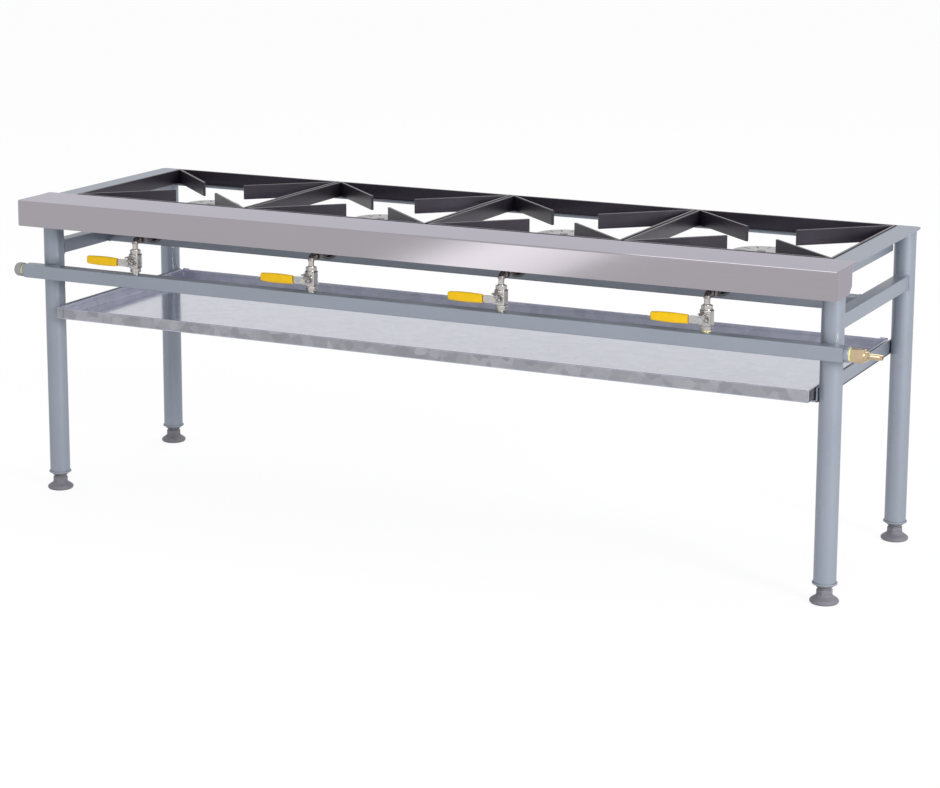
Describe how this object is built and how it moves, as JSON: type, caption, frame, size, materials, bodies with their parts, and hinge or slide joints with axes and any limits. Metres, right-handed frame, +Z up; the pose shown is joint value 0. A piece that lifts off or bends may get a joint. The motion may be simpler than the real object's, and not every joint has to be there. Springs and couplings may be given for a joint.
{
  "type": "gas boiling table",
  "caption": "Floor-standing gas boiling table with open burners under black pan supports, lever valves on a front gas rail, a stainless front and a galvanised undershelf.",
  "frame": {"origin": "on the floor, under the middle of the whole outline", "axes": "+X along the table towards the gas inlet, +Y from the cook towards the back, +Z up"},
  "size_m": [1.694, 0.4958, 0.571],
  "materials": {
    "stainless": "brushed",
    "frame_paint": "satin grey-blue hammer paint",
    "black_enamel": "semi-gloss black",
    "galvanised": "galvanised spangle",
    "cast_iron": "as cast, grey",
    "dark_iron": "dark malleable iron",
    "brass": "machined",
    "nickel": "nickel plated",
    "zinc_steel": "zinc plated",
    "yellow_grip": "dipped vinyl",
    "foot_plastic": "moulded",
    "white_seal": "plain",
    "seal_fibre": "fibre"
  },
  "bodies": {
    "frame": {"front_fascia": "stainless", "front_angle": "frame_paint", "back_angle": "frame_paint", "left_side_angle": "frame_paint", "right_side_angle": "frame_paint", "front_left_leg": "frame_paint", "front_right_leg": "frame_paint", "back_left_leg": "frame_paint", "back_right_leg": "frame_paint", "leg_inserts": "foot_plastic", "left_side_rail": "frame_paint", "right_side_rail": "frame_paint", "burner_bar": "frame_paint", "shelf_runners": "frame_paint", "gas_manifold": "frame_paint", "manifold_end_plates": "frame_paint", "manifold_plug": "dark_iron", "seal_washers": "seal_fibre", "inlet_nipple": "zinc_steel", "inlet_adaptor": "brass", "hose_tail": "brass", "valve_nipples": "zinc_steel", "valve_1_body": "nickel", "valve_2_body": "nickel", "valve_3_body": "nickel", "valve_4_body": "nickel", "valve_seats": "white_seal", "riser_pipes": "nickel", "injectors": "brass", "burner_1_casting": "cast_iron", "burner_2_casting": "cast_iron", "burner_3_casting": "cast_iron", "burner_4_casting": "cast_iron", "burner_caps": "cast_iron", "burner_bolts": "zinc_steel"},
    "lever_1": {"valve_1_ball_stem": "nickel", "valve_1_lever": "zinc_steel", "valve_1_grip": "yellow_grip", "valve_1_lever_nut": "zinc_steel"},
    "lever_2": {"valve_2_ball_stem": "nickel", "valve_2_lever": "zinc_steel", "valve_2_grip": "yellow_grip", "valve_2_lever_nut": "zinc_steel"},
    "lever_3": {"valve_3_ball_stem": "nickel", "valve_3_lever": "zinc_steel", "valve_3_grip": "yellow_grip", "valve_3_lever_nut": "zinc_steel"},
    "lever_4": {"valve_4_ball_stem": "nickel", "valve_4_lever": "zinc_steel", "valve_4_grip": "yellow_grip", "valve_4_lever_nut": "zinc_steel"},
    "support_1": {"pan_support_1": "black_enamel"},
    "support_2": {"pan_support_2": "black_enamel"},
    "support_3": {"pan_support_3": "black_enamel"},
    "support_4": {"pan_support_4": "black_enamel"},
    "front_left_foot_body": {"front_left_foot": "foot_plastic"},
    "front_right_foot_body": {"front_right_foot": "foot_plastic"},
    "back_left_foot_body": {"back_left_foot": "foot_plastic"},
    "back_right_foot_body": {"back_right_foot": "foot_plastic"},
    "shelf": {"undershelf": "galvanised"}
  },
  "joints": [
    {"name": "valve_1_turn", "type": "hinge", "parent": "frame", "child": "lever_1", "pos_m": [-0.57568, -0.23942, 0.47], "axis": [0, -1, 0], "range_deg": [0, 90]},
    {"name": "valve_2_turn", "type": "hinge", "parent": "frame", "child": "lever_2", "pos_m": [-0.20122, -0.23942, 0.47], "axis": [0, -1, 0], "range_deg": [0, 90]},
    {"name": "valve_3_turn", "type": "hinge", "parent": "frame", "child": "lever_3", "pos_m": [0.17322, -0.23942, 0.47], "axis": [0, -1, 0], "range_deg": [0, 90]},
    {"name": "valve_4_turn", "type": "hinge", "parent": "frame", "child": "lever_4", "pos_m": [0.54768, -0.23942, 0.47], "axis": [0, -1, 0], "range_deg": [0, 90]},
    {"name": "pan_support_1_lift", "type": "slide", "parent": "frame", "child": "support_1", "axis": [0, 0, 1], "range_m": [0, 0.06]},
    {"name": "pan_support_2_lift", "type": "slide", "parent": "frame", "child": "support_2", "axis": [0, 0, 1], "range_m": [0, 0.06]},
    {"name": "pan_support_3_lift", "type": "slide", "parent": "frame", "child": "support_3", "axis": [0, 0, 1], "range_m": [0, 0.06]},
    {"name": "pan_support_4_lift", "type": "slide", "parent": "frame", "child": "support_4", "axis": [0, 0, 1], "range_m": [0, 0.06]},
    {"name": "front_left_foot_screw", "type": "slide", "parent": "frame", "child": "front_left_foot_body", "axis": [0, 0, -1], "range_m": [0, 0.015]},
    {"name": "front_right_foot_screw", "type": "slide", "parent": "frame", "child": "front_right_foot_body", "axis": [0, 0, -1], "range_m": [0, 0.015]},
    {"name": "back_left_foot_screw", "type": "slide", "parent": "frame", "child": "back_left_foot_body", "axis": [0, 0, -1], "range_m": [0, 0.015]},
    {"name": "back_right_foot_screw", "type": "slide", "parent": "frame", "child": "back_right_foot_body", "axis": [0, 0, -1], "range_m": [0, 0.015]},
    {"name": "undershelf_slide", "type": "slide", "parent": "frame", "child": "shelf", "axis": [0, -1, 0], "range_m": [0, 0.2]}
  ]
}
